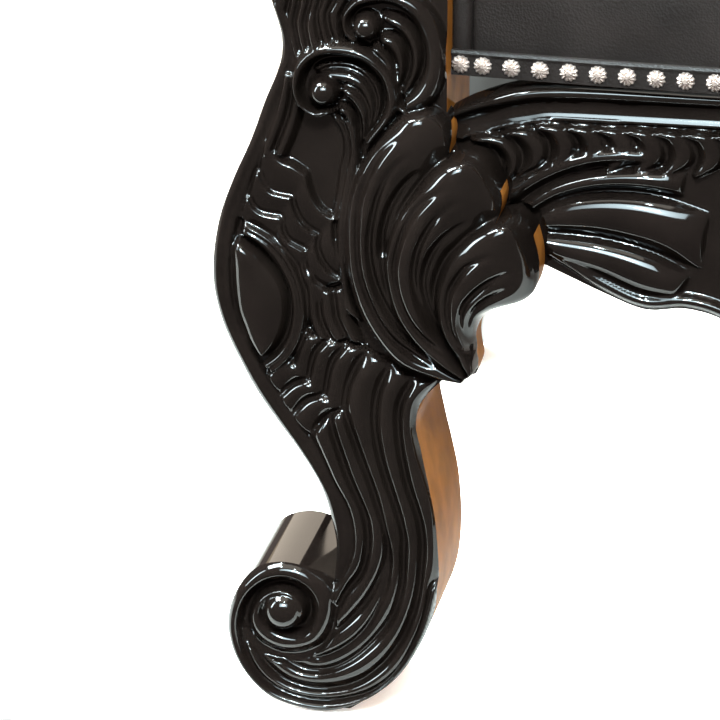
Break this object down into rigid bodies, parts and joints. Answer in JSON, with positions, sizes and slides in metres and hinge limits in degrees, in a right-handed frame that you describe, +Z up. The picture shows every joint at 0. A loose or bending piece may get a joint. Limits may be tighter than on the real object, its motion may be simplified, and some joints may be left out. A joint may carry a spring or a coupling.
{
  "type": "throne",
  "caption": "High-backed carved armchair in black lacquer with scroll feet, leafy knees, a shell crest and dark padded leather",
  "frame": {"origin": "the middle of the footprint, on the floor", "axes": "+X to the viewer's right as the sitter faces the viewer, +Y to the back, +Z up"},
  "size_m": [0.814, 0.764, 1.7323],
  "materials": {
    "lacquer": "high gloss black-brown lacquer over carved wood",
    "leather": "matt dark brown-black leather",
    "nails": "antiqued silver nailheads"
  },
  "bodies": {
    "root": {"front_leg_left": "lacquer", "front_leg_right": "lacquer", "side_apron_left": "lacquer", "side_apron_right": "lacquer", "back_post_left": "lacquer", "back_post_right": "lacquer", "arm_left": "lacquer", "arm_right": "lacquer", "arm_pad_left": "leather", "arm_pad_right": "leather", "front_apron": "lacquer", "rear_rail": "lacquer", "seat": "leather", "lower_back_rail": "lacquer", "back_panel": "leather", "crest_rail": "lacquer"}
  },
  "joints": []
}
